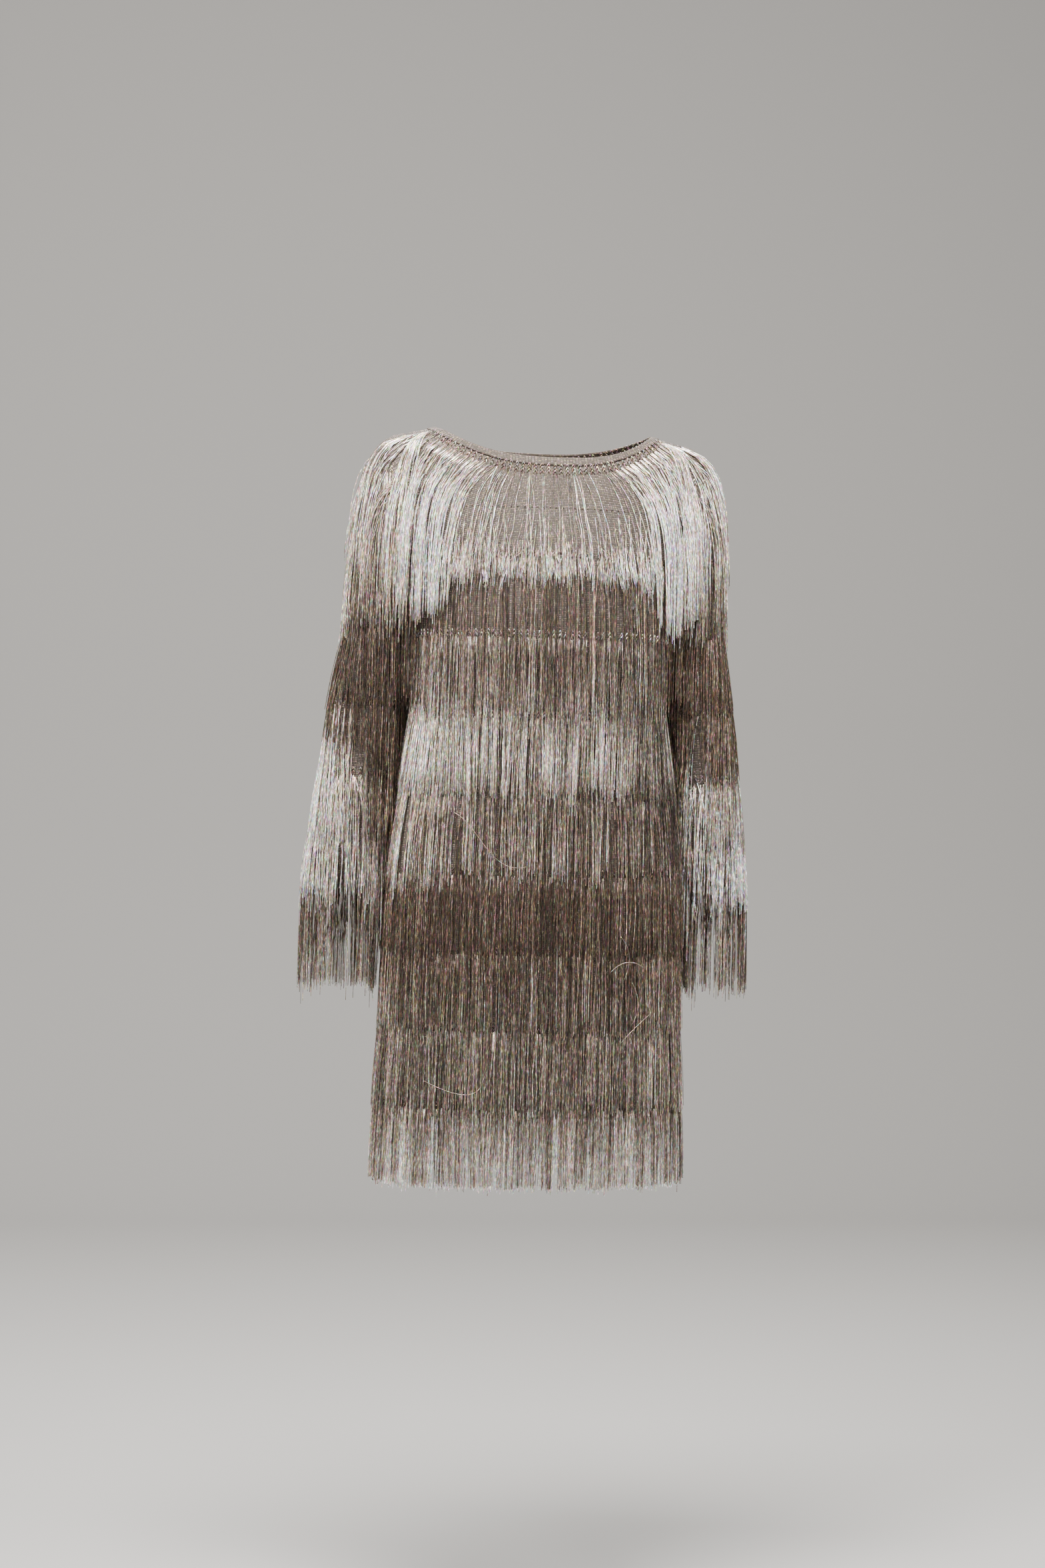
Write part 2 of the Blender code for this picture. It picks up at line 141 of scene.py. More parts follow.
bodyCut = {
    "roundness": 2.4,        # exponent of the rounded sections
    "underarm": -200.0,
    "hem": -812.0,
    "shoulderTip": -8.0,
    "shoulderSlope": 0.216,
    "crownRise": 15.0,       # height of the top between the shoulder points
    "frontRoll": 250.0,      # height over which the front rounds down from the shoulder
    "backRoll": 200.0,
    "neckColumn": 8.5,       # the 19 columns of a panel are counted from its middle, to 9.5 at each side
    "sideColumn": 9.5,
    "wall": 1.3,
    # height, edge (side seam or armhole), half width, front depth, back depth
    "sections": [
        (-920, 184, 184, 101, 103),
        (-812, 183, 183, 102, 104),
        (-705, 178, 178, 103, 108),
        (-610, 176, 176, 104, 112),
        (-517, 174, 174, 104, 112),
        (-422, 164, 164, 102, 100),
        (-330, 152, 152, 106, 88),
        (-250, 152, 152, 118, 92),
        (-200, 151, 151, 118, 95),
        (-190, 149, 153, 118, 95),
        (-170, 147.5, 156, 118, 95),
        (-110, 150, 163, 118, 95),
        (-50, 158, 173, 118, 95),
        (-8, 168, 180, 118, 95),
        (20, 168, 180, 118, 95),
    ],
}

neckCut = {
    "half": 131.0,
    "front": -37.5,
    "back": -20.0,
    "curve": 2.8,            # exponent of the edge's rise towards the shoulders
    "band": 10.0,
    "wall": 1.5,
}

sleeveCut = {
    "columns": 16,
    "cuff": -540.0,
    "capEnd": -242.0,        # below this the sleeve is a plain tube
    "startPull": 0.24,       # share of the cap's length that runs outwards from the seam
    "endPull": 0.63,         # and that hangs straight above the tube
    "startWay": (0.99, 0.0, -0.14),
    "endWay": (-0.03, 0.0, 1.0),
    "seamGap": 0.3,
    "wall": 1.3,
    # share of the armhole's height at each of its nine points from the underarm up
    "climb": [0.0, 0.05, 0.16, 0.32, 0.50, 0.68, 0.84, 0.95, 1.0],
    # height, middle x and y, half width, half depth, and how much further out the left one's outer side lies
    "sections": [
        (-690, 232, 26, 37.5, 37, 8),
        (-610, 230, 23, 38.5, 38, 8),
        (-540, 225.5, 18, 38, 38, 9),
        (-517, 223, 16, 38.5, 38.5, 9),
        (-422, 211.5, 10, 38.5, 38.5, 9),
        (-328, 200, 5, 38.5, 38.5, 9),
        (-242, 193, 2, 32, 38.5, 6),
        (-200, 191, 2, 32, 38.5, 5),
    ],
}


def smoothCurve(rows, column):  # a smooth curve through one column of a table, over height
    ordered = sorted(rows)
    heights = np.array([row[0] for row in ordered], float)
    values = np.array([row[column] for row in ordered], float)
    before = np.maximum(np.arange(len(heights)) - 1, 0)
    after = np.minimum(np.arange(len(heights)) + 1, len(heights) - 1)
    slopes = (values[after] - values[before]) / (heights[after] - heights[before])
    fine = np.arange(heights[0], heights[-1] + 1)
    low = np.clip(np.searchsorted(heights, fine, "right") - 1, 0, len(heights) - 2)
    span = heights[low + 1] - heights[low]
    s = (fine - heights[low]) / span
    start = (1 + 2 * s) * (1 - s) ** 2 * values[low] + s * (1 - s) ** 2 * span * slopes[low]
    end = s * s * (3 - 2 * s) * values[low + 1] - s * s * (1 - s) * span * slopes[low + 1]
    return lambda z: np.interp(z, fine, start + end)


edgeAt, halfAt, frontAt, backAt = (smoothCurve(bodyCut["sections"], i) for i in (1, 2, 3, 4))
armX, armY, armAcross, armDeep, armLeft = (smoothCurve(sleeveCut["sections"], i) for i in (1, 2, 3, 4, 5))


def shoulderHeight(x):
    reach = np.abs(x)
    fall = -bodyCut["shoulderSlope"] * (reach - neckCut["half"])
    crown = bodyCut["crownRise"] * (1 - (reach / neckCut["half"]) ** 2)
    return np.where(reach >= neckCut["half"], fall, crown)


def depthAt(side, x, z):  # side is -1 for the front and 1 for the back
    power = bodyCut["roundness"]
    share = np.minimum(np.abs(x) / halfAt(z), 1)
    rounded = (1 - share ** power) ** (1 / power)
    full = frontAt(z) if side < 0 else backAt(z)
    roll = bodyCut["frontRoll"] if side < 0 else bodyCut["backRoll"]
    drop = np.clip((shoulderHeight(x) - z) / (roll + bodyCut["crownRise"]), 0, 1)
    return full * rounded * np.sqrt(1 - (1 - drop) ** 2)


def neckEdge(column, middle, shoulder):
    share = np.minimum(np.abs(column) / bodyCut["neckColumn"], 1)
    return middle + (shoulder - middle) * share ** neckCut["curve"]


def pastNeck(column):  # share of the way along the shoulder seam
    past = np.maximum(np.abs(column) - bodyCut["neckColumn"], 0)
    return past / (bodyCut["sideColumn"] - bodyCut["neckColumn"])


def panelTop(side, column):
    seamStart = float(shoulderHeight(neckCut["half"] + neckCut["band"]))
    middle = (neckCut["front"] if side < 0 else neckCut["back"]) - neckCut["band"]
    return neckEdge(column, middle, seamStart) + (bodyCut["shoulderTip"] - seamStart) * pastNeck(column)


def panelPoint(side, column, z):
    top = panelTop(side, column)
    turn = math.pi / 2 * np.minimum(np.abs(column) / bodyCut["sideColumn"], 1)
    lowShare = np.sin(turn) ** (2 / bodyCut["roundness"])
    neckShare = (neckCut["half"] + neckCut["band"]) / edgeAt(bodyCut["shoulderTip"])
    highShare = neckShare * np.minimum(np.abs(column) / bodyCut["neckColumn"], 1)
    highShare = highShare + (1 - neckShare) * pastNeck(column)
    climb = np.clip((z - bodyCut["underarm"]) / (top - bodyCut["underarm"]), 0, 1)
    ease = climb * climb * (3 - 2 * climb)
    x = np.sign(column) * (lowShare + (highShare - lowShare) * ease) * edgeAt(z)
    return np.stack([x, side * depthAt(side, x, z), z + 0 * x], -1)


def armholePoint(turn):
    half = sleeveCut["columns"] // 2
    climb = np.interp(half - np.abs(turn - half), np.arange(half + 1), sleeveCut["climb"])
    z = bodyCut["underarm"] + climb * (bodyCut["shoulderTip"] - bodyCut["underarm"])
    edge = bodyCut["sideColumn"] + 0 * z
    front, back = panelPoint(-1, edge, z), panelPoint(1, edge, z)
    seam = np.where((turn <= half)[..., None], front, back)
    seam[..., 0] += sleeveCut["seamGap"]
    return seam


def sleeveRing(hand, turn, z):  # worked out on the right; hand is -1 for the sleeve that is mirrored
    angle = 2 * math.pi * turn / sleeveCut["columns"]
    spread = armLeft(z) / 2 if hand < 0 else 0.0
    x = armX(z) + spread - (armAcross(z) + spread) * np.cos(angle)
    y = armY(z) - armDeep(z) * np.sin(angle)
    return np.stack([x, y, z + 0 * x], -1)


def capPoint(hand, turn, share):  # from the armhole, outwards and then down to the sleeve's first full ring
    seam = armholePoint(turn)
    end = sleeveRing(hand, turn, sleeveCut["capEnd"] + 0 * turn)
    length = np.linalg.norm(end - seam, axis=-1, keepdims=True)
    first = seam + np.array(sleeveCut["startWay"]) * length * sleeveCut["startPull"]
    second = end + np.array(sleeveCut["endWay"]) * length * sleeveCut["endPull"]
    s = share[..., None]
    rest = 1 - s
    return rest ** 3 * seam + 3 * rest ** 2 * s * first + 3 * rest * s ** 2 * second + s ** 3 * end


def sleevePoint(hand, turn, z):  # at a height, found by halving where it lies on the cap
    low, high = np.zeros_like(turn), np.ones_like(turn)
    for _ in range(24):
        middle = (low + high) / 2
        over = capPoint(hand, turn, middle)[..., 2] > z
        low, high = np.where(over, middle, low), np.where(over, high, middle)
    onCap = capPoint(hand, turn, low)
    return np.where((z <= sleeveCut["capEnd"])[..., None], sleeveRing(hand, turn, z), onCap)


def runLength(points):  # distance along a line of points
    steps = np.linalg.norm(np.diff(points, axis=0), axis=1)
    return np.concatenate([[0], np.cumsum(steps)])


# knit shells

knitLook = {
    "wale": 1.9,             # width of one column of stitches
    "course": 2.1,           # height of one row of stitches
    "tan": (0.064, 0.043, 0.030),
    "taupe": (0.066, 0.049, 0.038),
    "dark": (0.062, 0.044, 0.035),
    "glint": (0.50, 0.41, 0.31),
    "yokeEnd": -91.0,
    "taupeEnd": -165.0,
    "sheetRows": 40,
    "upperRows": 26,
    "sheetColumns": 76,
    "sleeveRows": 20,
    "capRows": 16,
    "sleeveColumns": 48,
    "hipRow": 0.35,          # share of a panel's rows at which its girth is taken
}


def sheetMesh(name, points, acrossMm, alongMm, closed):
    # a grid moved onto a surface; its UV map counts metres across and along the knit
    rows, columns = points.shape[:2]
    bm = bmesh.new()
    uvLayer = bm.loops.layers.uv.new("knit")
    bmesh.ops.create_grid(bm, x_segments=columns - 1, y_segments=rows - 1, size=1)
    for face in bm.faces:
        for loop in face.loops:
            column = round((loop.vert.co.x + 1) / 2 * (columns - 1))
            row = round((loop.vert.co.y + 1) / 2 * (rows - 1))
            loop[uvLayer].uv = (acrossMm[column] * mm, alongMm[row] * mm)
    for vert in bm.verts:
        column = round((vert.co.x + 1) / 2 * (columns - 1))
        row = round((vert.co.y + 1) / 2 * (rows - 1))
        vert.co = points[row, column] * mm
    if closed:
        bmesh.ops.remove_doubles(bm, verts=bm.verts, dist=0.02 * mm)
    mesh = bpy.data.meshes.new(name)
    bm.to_mesh(mesh)
    bm.free()
    mesh.shade_smooth()
    return mesh


def addPiece(name, mesh, material, slot, nodes):
    mesh.materials.append(material)
    piece = bpy.data.objects.new(name, mesh)
    scene.collection.objects.link(piece)
    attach(piece, "root")
    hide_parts(*nodes)
    return piece


def addWall(piece, thickness, offset):
    wall = piece.modifiers.new("wall", "SOLIDIFY")
    wall.thickness = thickness * mm
    wall.offset = offset


def panelSheet(side):
    columns = np.linspace(-bodyCut["sideColumn"], bodyCut["sideColumn"], knitLook["sheetColumns"] + 1)
    if side > 0:
        columns = columns[::-1]
    low = np.linspace(bodyCut["hem"], bodyCut["underarm"], knitLook["sheetRows"])[:-1]
    rows = [panelPoint(side, columns, z + 0 * columns) for z in low]
    top = panelTop(side, columns)
    for climb in np.linspace(0, 1, knitLook["upperRows"]):
        rows.append(panelPoint(side, columns, bodyCut["underarm"] + climb * (top - bodyCut["underarm"])))
    points = np.array(rows)
    points[..., 1] = side * np.maximum(np.abs(points[..., 1]), sleeveCut["seamGap"] / 2)
    hipRow = int(knitLook["hipRow"] * len(rows))
    middle = len(columns) // 2
    return points, runLength(points[hipRow]), runLength(points[:, middle])


def sleeveSheet(hand):
    turns = np.linspace(0, sleeveCut["columns"], knitLook["sleeveColumns"] + 1)
    low = np.linspace(sleeveCut["cuff"], sleeveCut["capEnd"], knitLook["sleeveRows"])[:-1]
    rows = [sleeveRing(hand, turns, z + 0 * turns) for z in low]
    rows += [capPoint(hand, turns, share + 0 * turns) for share in np.linspace(1, 0, knitLook["capRows"])]
    points = np.array(rows)
    if hand < 0:
        points = points[:, ::-1] * np.array([-1, 1, 1])
    outer = len(turns) // 2
    return points, runLength(points[3]), runLength(points[:, outer])


def neckbandSheet():
    reach = bodyCut["neckColumn"]
    columns = np.arange(-reach, reach + 0.01, 0.5)
    rows = []
    for share in (0.03, 0.25, 0.5, 0.75, 1.0):
        ring = []
        for side, places in ((-1, columns), (1, columns[::-1][1:])):
            outer = panelPoint(side, places, panelTop(side, places))
            x = neckCut["half"] * places / reach
            z = neckEdge(places, neckCut["front"] if side < 0 else neckCut["back"], 0.0)
            inner = np.stack([x, side * depthAt(side, x, z), z], -1)
            ring.append(outer + (inner - outer) * share)
        rows.append(np.concatenate(ring))
    points = np.array(rows)
    points[:, -1] = points[:, 0]
    return points, runLength(points[0]), runLength(points[:, 0])


def knitFinish(name, plain=None):  # slanted legs of stitches in wales, with a glint here and there
    finish = Finish(name, 0.7, 0.1, 0.04)
    uv = finish.node("UVMap", {"uv_map": "knit"}, {})
    across = finish.node("SeparateXYZ", {}, {0: uv}, 0) * (1 / (knitLook["wale"] * mm))
    along = finish.node("SeparateXYZ", {}, {0: uv}, 1) * (1 / (knitLook["course"] * mm))
    side = (across.fract() - 0.5).size()       # 0 in the middle of a wale, 0.5 between two
    slanted = along + side * 1.1
    leg = (slanted.fract() - 0.5).size()
    rib = 1 - side * 2
    loop = (1 - leg * 2) * (side * 2 * (1 - side) * 2)
    place = finish.node("CombineXYZ", {}, {0: across.floor(), 1: slanted.floor()})
    luck = finish.node("TexWhiteNoise", {"noise_dimensions": "2D"}, {"Vector": place})
    hue = finish.node("TexWhiteNoise", {"noise_dimensions": "2D"}, {"Vector": place}, 1)
    onPiece = finish.node("TexCoord", {}, {}, 3)
    cloudy = finish.node("TexNoise", {}, {"Vector": onPiece, "Scale": 38.0, "Detail": 3.0})
    if plain:
        base = shade(*plain)
    else:
        wavy = finish.node("SeparateXYZ", {}, {0: onPiece}, 2) + (cloudy - 0.5) * 0.004
        dark, taupe, tan = (shade(*knitLook[colour]) for colour in ("dark", "taupe", "tan"))
        lower = finish.mix(wavy.above(knitLook["taupeEnd"] * mm), dark, taupe)
        base = finish.mix(wavy.above(knitLook["yokeEnd"] * mm), lower, tan)
    lit = finish.mix(loop * 1.2 + 0.15, shade(0.22, 0.20, 0.19), shade(1.15, 1.15, 1.15))
    shadowed = finish.mix(1.0, base, lit, "MULTIPLY")
    glint = finish.mix(0.22, shade(*knitLook["glint"]), hue)
    dotted = (across * 0.5).fract().above(0.5) * 0.65 + 0.2     # every second wale is the bright one
    sparkle = (luck * 0.8 + 0.2) ** 1.6 * loop.above(0.36) * dotted
    finish.feed("Base Color", finish.mix(sparkle, shadowed, glint))
    finish.feed("Roughness", 0.68 - sparkle * 0.4)
    finish.bump(loop + rib * 0.35 + cloudy * 0.2, 0.6, 0.0006)
    return finish.material


knitMaterial = knitFinish("fine_knit")
bandMaterial = knitFinish("neckband_knit", knitLook["tan"])
sheets = {}
wallPoints, wallFaces = [], []


def addToWalls(points):  # the fringe is hung over these
    rows, columns = points.shape[:2]
    first = len(wallPoints)
    wallPoints.extend(tuple(point) for point in points.reshape(-1, 3))
    for row in range(rows - 1):
        for column in range(columns - 1):
            low = first + row * columns + column
            wallFaces.append((low, low + 1, low + columns + 1, low + columns))


for name, made, closed, thickness, offset, slot, node in (
    ("knit_front", panelSheet(-1), False, bodyCut["wall"], -1, "knit", "front"),
    ("knit_back", panelSheet(1), False, bodyCut["wall"], -1, "knit", "back"),
    ("knit_sleeve_left", sleeveSheet(-1), True, sleeveCut["wall"], -1, "knit", "sleeve_left"),
    ("knit_sleeve_right", sleeveSheet(1), True, sleeveCut["wall"], -1, "knit", "sleeve_right"),
    ("knit_neckband", neckbandSheet(), True, neckCut["wall"], 1, "neckband_knit", "neckband"),
):
    points, acrossMm, alongMm = made
    mesh = sheetMesh(name, points, acrossMm, alongMm, closed)
    material = bandMaterial if node == "neckband" else knitMaterial
    sheets[node] = addPiece(name, mesh, material, slot, [node])
    addWall(sheets[node], thickness, offset)
    area = sum(face.area for face in mesh.polygons)
    print(name, "area", round(area, 4), "girth", round(acrossMm[-1]), "length", round(alongMm[-1]))
    addToWalls(points[:, ::-1] if node == "neckband" else points)

walls = BVHTree.FromPolygons(wallPoints, wallFaces)
print("knit shells made:", len(wallFaces), "faces to hang the fringe on")

# threads

threadLook = {
    "pitch": 7.6,            # from one knot to the next along a row
    "radius": 0.42,
    "tipRadius": 0.36,
    "rootRise": 0.5,
    "freeTurn": 0.035,       # how fast a thread off the cloth turns to the ground, for each millimetre
    # lightest colour: the silver thread made lighter, a painted highlight where the lamps catch the threads
    "pale": (0.92, 0.80, 0.69),
    "silver": (0.620, 0.510, 0.420),
    "mid": (0.290, 0.235, 0.195),
    "brown": (0.118, 0.086, 0.066),
    "taupe": (0.205, 0.168, 0.138),
}


def nearestWall(points):
    spots, normals = np.empty_like(points), np.empty_like(points)
    for i, point in enumerate(points.tolist()):
        spot, normal, _, _ = walls.find_nearest(point)
        spots[i], normals[i] = spot, normal
    return spots, normals


def unit(vectors):
    return vectors / np.maximum(np.linalg.norm(vectors, axis=-1, keepdims=True), 1e-9)


def smoothNoise(at, wave, seed):  # soft waves between -1 and 1 along a row
    made = np.random.default_rng(seed)
    total = np.zeros_like(at)
    for octave in range(3):
        turn, start = made.uniform(0.7, 1.4) * 2 ** octave, made.uniform(0, 2 * math.pi)
        total += np.sin(2 * math.pi * turn * at / wave + start) / 2 ** octave
    return total / 1.75


def alongRow(points, reach, at):
    return np.stack([np.interp(at, reach, points[:, k]) for k in range(3)], -1)


def rowWays(points, reach, at):  # roots on a row, and the ways along the row and down the cloth there
    roots = alongRow(points, reach, at)
    edge = unit(alongRow(points, reach, at + 1.5) - alongRow(points, reach, at - 1.5))
    down = np.cross(edge, nearestWall(roots)[1])
    return roots, edge, unit(down * np.where(down[:, 2:] > 0, -1, 1))


def readStops(row, key, place, plain):  # a value that changes along a row, between stops of place and value
    stops = row.get(key)
    return np.interp(place, *zip(*stops)) if stops else np.full(len(place), float(plain))


def hangThreads(roots, normals, ways, lengths, segments, rises, slip):
    # each step turns a little towards the ground, then comes out of the cloth
    count = len(roots)
    step = (lengths / segments)[:, None]
    paths = np.empty((count, segments + 1, 3))
    faces = np.empty_like(paths)
    paths[:, 0], faces[:, 0] = roots + normals * threadLook["rootRise"], normals
    point, way = paths[:, 0], ways
    touching = np.ones((count, 1), bool)
    for k in range(1, segments + 1):
        pull = np.where(touching, slip[:, None] * step, threadLook["freeTurn"] * step)
        way = unit(way + np.array([0, 0, -1.0]) * pull)
        following = point + way * step
        spots, normals = nearestWall(following)
        away = following - spots
        gap = np.sum(away * normals, 1, keepdims=True)
        square = np.abs(gap) > 0.6 * np.linalg.norm(away, axis=1, keepdims=True)
        wanted = rises[:, k, None]
        touching = (gap < wanted) & square
        following = np.where(touching, following + normals * (wanted - gap), following)
        way = unit(following - point)
        point = point + way * step
        paths[:, k], faces[:, k] = point, normals
    return paths, faces


def gatherThreads(paths, at, row, seed):
    # neighbours cling together a little towards their tips, and each lock sways
    made = np.random.default_rng(seed)
    cuts, place = [0], at[0] + made.uniform(*row["lock"])
    while place < at[-1]:
        cuts.append(int(np.searchsorted(at, place)))
        place += made.uniform(*row["lock"])
    cuts = np.unique([cut for cut in cuts if cut < len(at)])
    sizes = np.diff(np.append(cuts, len(at)))
    centres = np.add.reduceat(paths, cuts, axis=0) / sizes[:, None, None]
    owner = np.repeat(np.arange(len(cuts)), sizes)
    along = np.linspace(0, 1, paths.shape[1])
    grip = made.uniform(*row["grip"], len(cuts))[owner][:, None] * np.clip(along * 1.3, 0, 1) ** 0.8
    sway = made.normal(0, row["sway"], len(cuts))[owner][:, None] * along ** 1.6
    across = unit(np.diff(centres, axis=0, append=centres[-1:] + (centres[-1:] - centres[-2:-1])))
    return paths + (centres[owner] - paths) * grip[..., None] + across[owner] * sway[..., None], owner


def waveThreads(paths, faces, size, seed):
    made = np.random.default_rng(seed)
    count, points = paths.shape[:2]
    along = np.linspace(0, 1, points)
    sideways = unit(np.cross(np.gradient(paths, axis=1), faces))
    start, turns = made.uniform(0, 2 * math.pi, (count, 1)), made.uniform(0.6, 2.4, (count, 1))
    wave = np.sin(start + turns * 2 * math.pi * along) - np.sin(start)
    jitter = np.cumsum(made.normal(0, 0.5, (count, points)), axis=1)
    return paths + sideways * ((wave + jitter) * size * np.minimum(along * 3, 1))[..., None]


class Threads:  # gathers thread and knot tubes, and makes one mesh of them
    def __init__(self):
        self.points, self.quads, self.ends, self.uvs, self.shades = [], [], [], [], []
        self.count = 0

    def addTubes(self, paths, faces, radii, shades):
        count, points = paths.shape[:2]
        way = unit(np.gradient(paths, axis=1))
        sideways = unit(np.cross(way, faces))
        outwards = np.cross(sideways, way)
        rings = []
        for corner in range(3):
            angle = math.radians(90 + 120 * corner)
            rings.append(paths + (sideways * math.cos(angle) + outwards * math.sin(angle)) * radii[..., None])
        points3 = np.stack(rings, 2)                     # thread, point, corner, xyz
        index = self.count + np.arange(count * points * 3).reshape(count, points, 3)
        turned = np.roll(index, -1, axis=2)
        quads = np.stack([index[:, :-1], turned[:, :-1], turned[:, 1:], index[:, 1:]], -1)
        self.points.append(points3.reshape(-1, 3))
        self.quads.append(quads.reshape(-1, 4)[:, ::-1])
        self.ends.append(index[:, 0].reshape(-1, 3))
        self.ends.append(index[:, -1, ::-1].reshape(-1, 3))
        distance = np.concatenate([np.zeros((count, 1)), np.cumsum(
            np.linalg.norm(np.diff(paths, axis=1), axis=2), axis=1)], axis=1) * mm
        luck = chance.random((count, 1)) + 0 * distance
        self.uvs.append(np.repeat(np.stack([luck, distance], -1)[:, :, None], 3, axis=2).reshape(-1, 2))
        self.shades.append(np.repeat(shades[:, :, None], 3, axis=2).reshape(-1, 3))
        self.count += count * points * 3

    def makeMesh(self, name):
        points = np.concatenate(self.points) * mm
        quads, ends = np.concatenate(self.quads), np.concatenate(self.ends)
        uvs, shades = np.concatenate(self.uvs), np.concatenate(self.shades)
        corners = np.concatenate([quads.ravel(), ends.ravel()]).astype(np.int32)
        sizes = np.concatenate([np.full(len(quads), 4), np.full(len(ends), 3)])
        mesh = bpy.data.meshes.new(name)
        mesh.vertices.add(len(points))
        mesh.vertices.foreach_set("co", points.astype(np.float32).ravel())
        mesh.loops.add(len(corners))
        mesh.loops.foreach_set("vertex_index", corners)
        mesh.polygons.add(len(sizes))
        mesh.polygons.foreach_set("loop_start", np.concatenate([[0], np.cumsum(sizes)[:-1]]).astype(np.int32))
        mesh.update(calc_edges=True)
        mesh.uv_layers.new(name="thread").data.foreach_set("uv", uvs[corners].astype(np.float32).ravel())
        colours = mesh.color_attributes.new("shade", "FLOAT_COLOR", "POINT")
        full = np.concatenate([shades, np.ones((len(shades), 1))], 1)
        colours.data.foreach_set("color", full.astype(np.float32).ravel())
        mesh.shade_smooth()
        triangles = 2 * len(quads) + len(ends)
        tally.append(triangles)
        print(name, "threads and knots:", len(ends) // 2, "triangles:", triangles)
        return mesh


tally = []


def toneColours(stops, along):  # colours at places along each thread, between stops of place and named colour
    places = [place for place, _ in stops]
    colours = np.array([threadLook[colour] for _, colour in stops])
    return np.stack([np.interp(along, places, colours[:, k]) for k in range(3)], -1)


def threadShades(row, place, at, owner, points, seed):
    made = np.random.default_rng(seed)
    count = len(at)
    shift = made.normal(0, row["toneSpread"], (count, 1)) + 0.08 * smoothNoise(at, 60, seed + 1)[:, None]
    along = np.linspace(0, 1, points)[None, :] + shift
    # colours along a thread are partly its own colour and partly painted light and shade that follow its
    # height on the body
    base = toneColours(row["tone"], along)
    if "otherTone" in row:
        share = readStops(row, "otherAt", place, 0)[:, None, None]
        base = base + (toneColours(row["otherTone"], along) - base) * share
    strength = made.normal(0, row["contrast"], count) + made.normal(0, 0.12, owner.max() + 1)[owner]
    # brightness stops along the row are painted light and shade: lighter where the lamps fall, as on the left
    # side, the shoulders and the sleeves' outer sides, darker away from them
    strength = np.exp(strength + 0.14 * smoothNoise(at, 30, seed + 2)) * readStops(row, "gainAt", place, 1)
    # one thread in ten is brighter: a random tone that also stands in for glints, a painted highlight
    strength = strength * np.where(made.random(count) < 0.10, 2.2, 1)
    # tips are lighter: a painted highlight on the thread ends
    tip = 1 + row["tipGlow"] * np.linspace(0, 1, points) ** 3
    hue = 1 + made.normal(0, 0.03, (count, 1, 3))
    return np.clip(base * hue * (strength[:, None] * tip[None, :])[..., None], 0, 0.95)


def addFringeRow(threads, points, places, row, seed):
    # points lie along the row, and places count columns there, for the values that change along it
    made = np.random.default_rng(seed)
    reach = runLength(points)
    knots = max(round(reach[-1] / threadLook["pitch"]), 1)
    pitch = reach[-1] / knots
    knotAt = (np.arange(knots) + 0.5) * pitch
    fanned = made.uniform(-1, 1, (knots, row["perKnot"]))
    at = (knotAt[:, None] + fanned * row["bundle"] * pitch).ravel()
    order = np.argsort(at)
    at, fanned = at[order], fanned.ravel()[order]
    place = np.interp(at, reach, places)
    kept = readStops(row, "keepAt", place, row["keep"]) + row["patchy"] * smoothNoise(at, 80, seed + 5)
    kept = made.random(len(at)) < kept
    at, place, fanned = at[kept], place[kept], fanned[kept]
    count, segments = len(at), row["segments"]
    roots, edge, down = rowWays(points, reach, at)
    roots, normals = nearestWall(roots + down * made.uniform(0, row["stagger"], (count, 1)))
    lean = made.normal(0, row["lean"], count) + row["bunch"] * smoothNoise(at, 24, seed + 7)
    onward = np.sign(places[-1] - places[0])
    lean += onward * readStops(row, "fanAt", place, 0)
    for middle, width, strength in row.get("partings", []):
        off = place - middle
        lean += onward * strength * np.sign(off) * np.exp(-np.abs(off) / width)
    strays = made.random(count) < row["stray"]
    lean = lean + np.where(strays, made.normal(0, 0.28, count), 0)
    ways = unit(down + edge * lean[:, None])
    along = np.linspace(0, 1, segments + 1)
    rootLift = made.uniform(0.1, 1.5, count)
    tipLift = made.uniform(*row["lift"], count) + 0.6 * smoothNoise(at, 45, seed + 8)
    tipLift = tipLift + np.where(strays, 1.5, 0) + readStops(row, "liftAt", place, 0)
    rises = threadLook["rootRise"] + rootLift[:, None] * np.minimum(along * 5, 1)
    rises = rises + tipLift[:, None] * np.clip((along - 0.2) / 0.45, 0, 1) ** 1.5
    lengths = readStops(row, "lengthAt", place, row["length"])
    lengths = lengths + row["ragged"] * (0.7 * smoothNoise(at, 45, seed + 9) + made.normal(0, 0.65, count))
    lengths = lengths + np.where(made.random(count) < 0.07, made.uniform(2, 2.6 * row["ragged"], count), 0)
    slip = readStops(row, "slipAt", place, row["slip"]) * made.uniform(0.7, 1.3, count)
    paths, faces = hangThreads(roots, normals, ways, lengths, segments, rises, slip)
    spread = fanned[:, None] * (row["spread"] - row["bundle"]) * pitch * np.minimum(along * 2.2, 1)
    paths = paths + edge[:, None] * spread[..., None]
    paths, owner = gatherThreads(paths, at, row, seed + 10)
    paths = waveThreads(paths, faces, row["wave"], seed + 11)
    thick = threadLook["radius"]
    radii = np.interp(along, [0, 0.9, 1], [thick, thick * 0.9, threadLook["tipRadius"]])
    radii = radii[None, :] * made.uniform(0.75, 1.2, (count, 1))
    shades = threadShades(row, place, at, owner, segments + 1, seed + 12)
    threads.addTubes(paths, faces, radii, shades)
    addKnots(threads, points, reach, knotAt, row, seed + 20)


knotLook = {
    "rows": [(1.0, 1.0), (5.2, 0.9)],   # height above the row and size of each line of knots
    "wide": 2.0,
    "tall": 2.2,
    "radius": 0.60,
    "rise": 1.2,
}


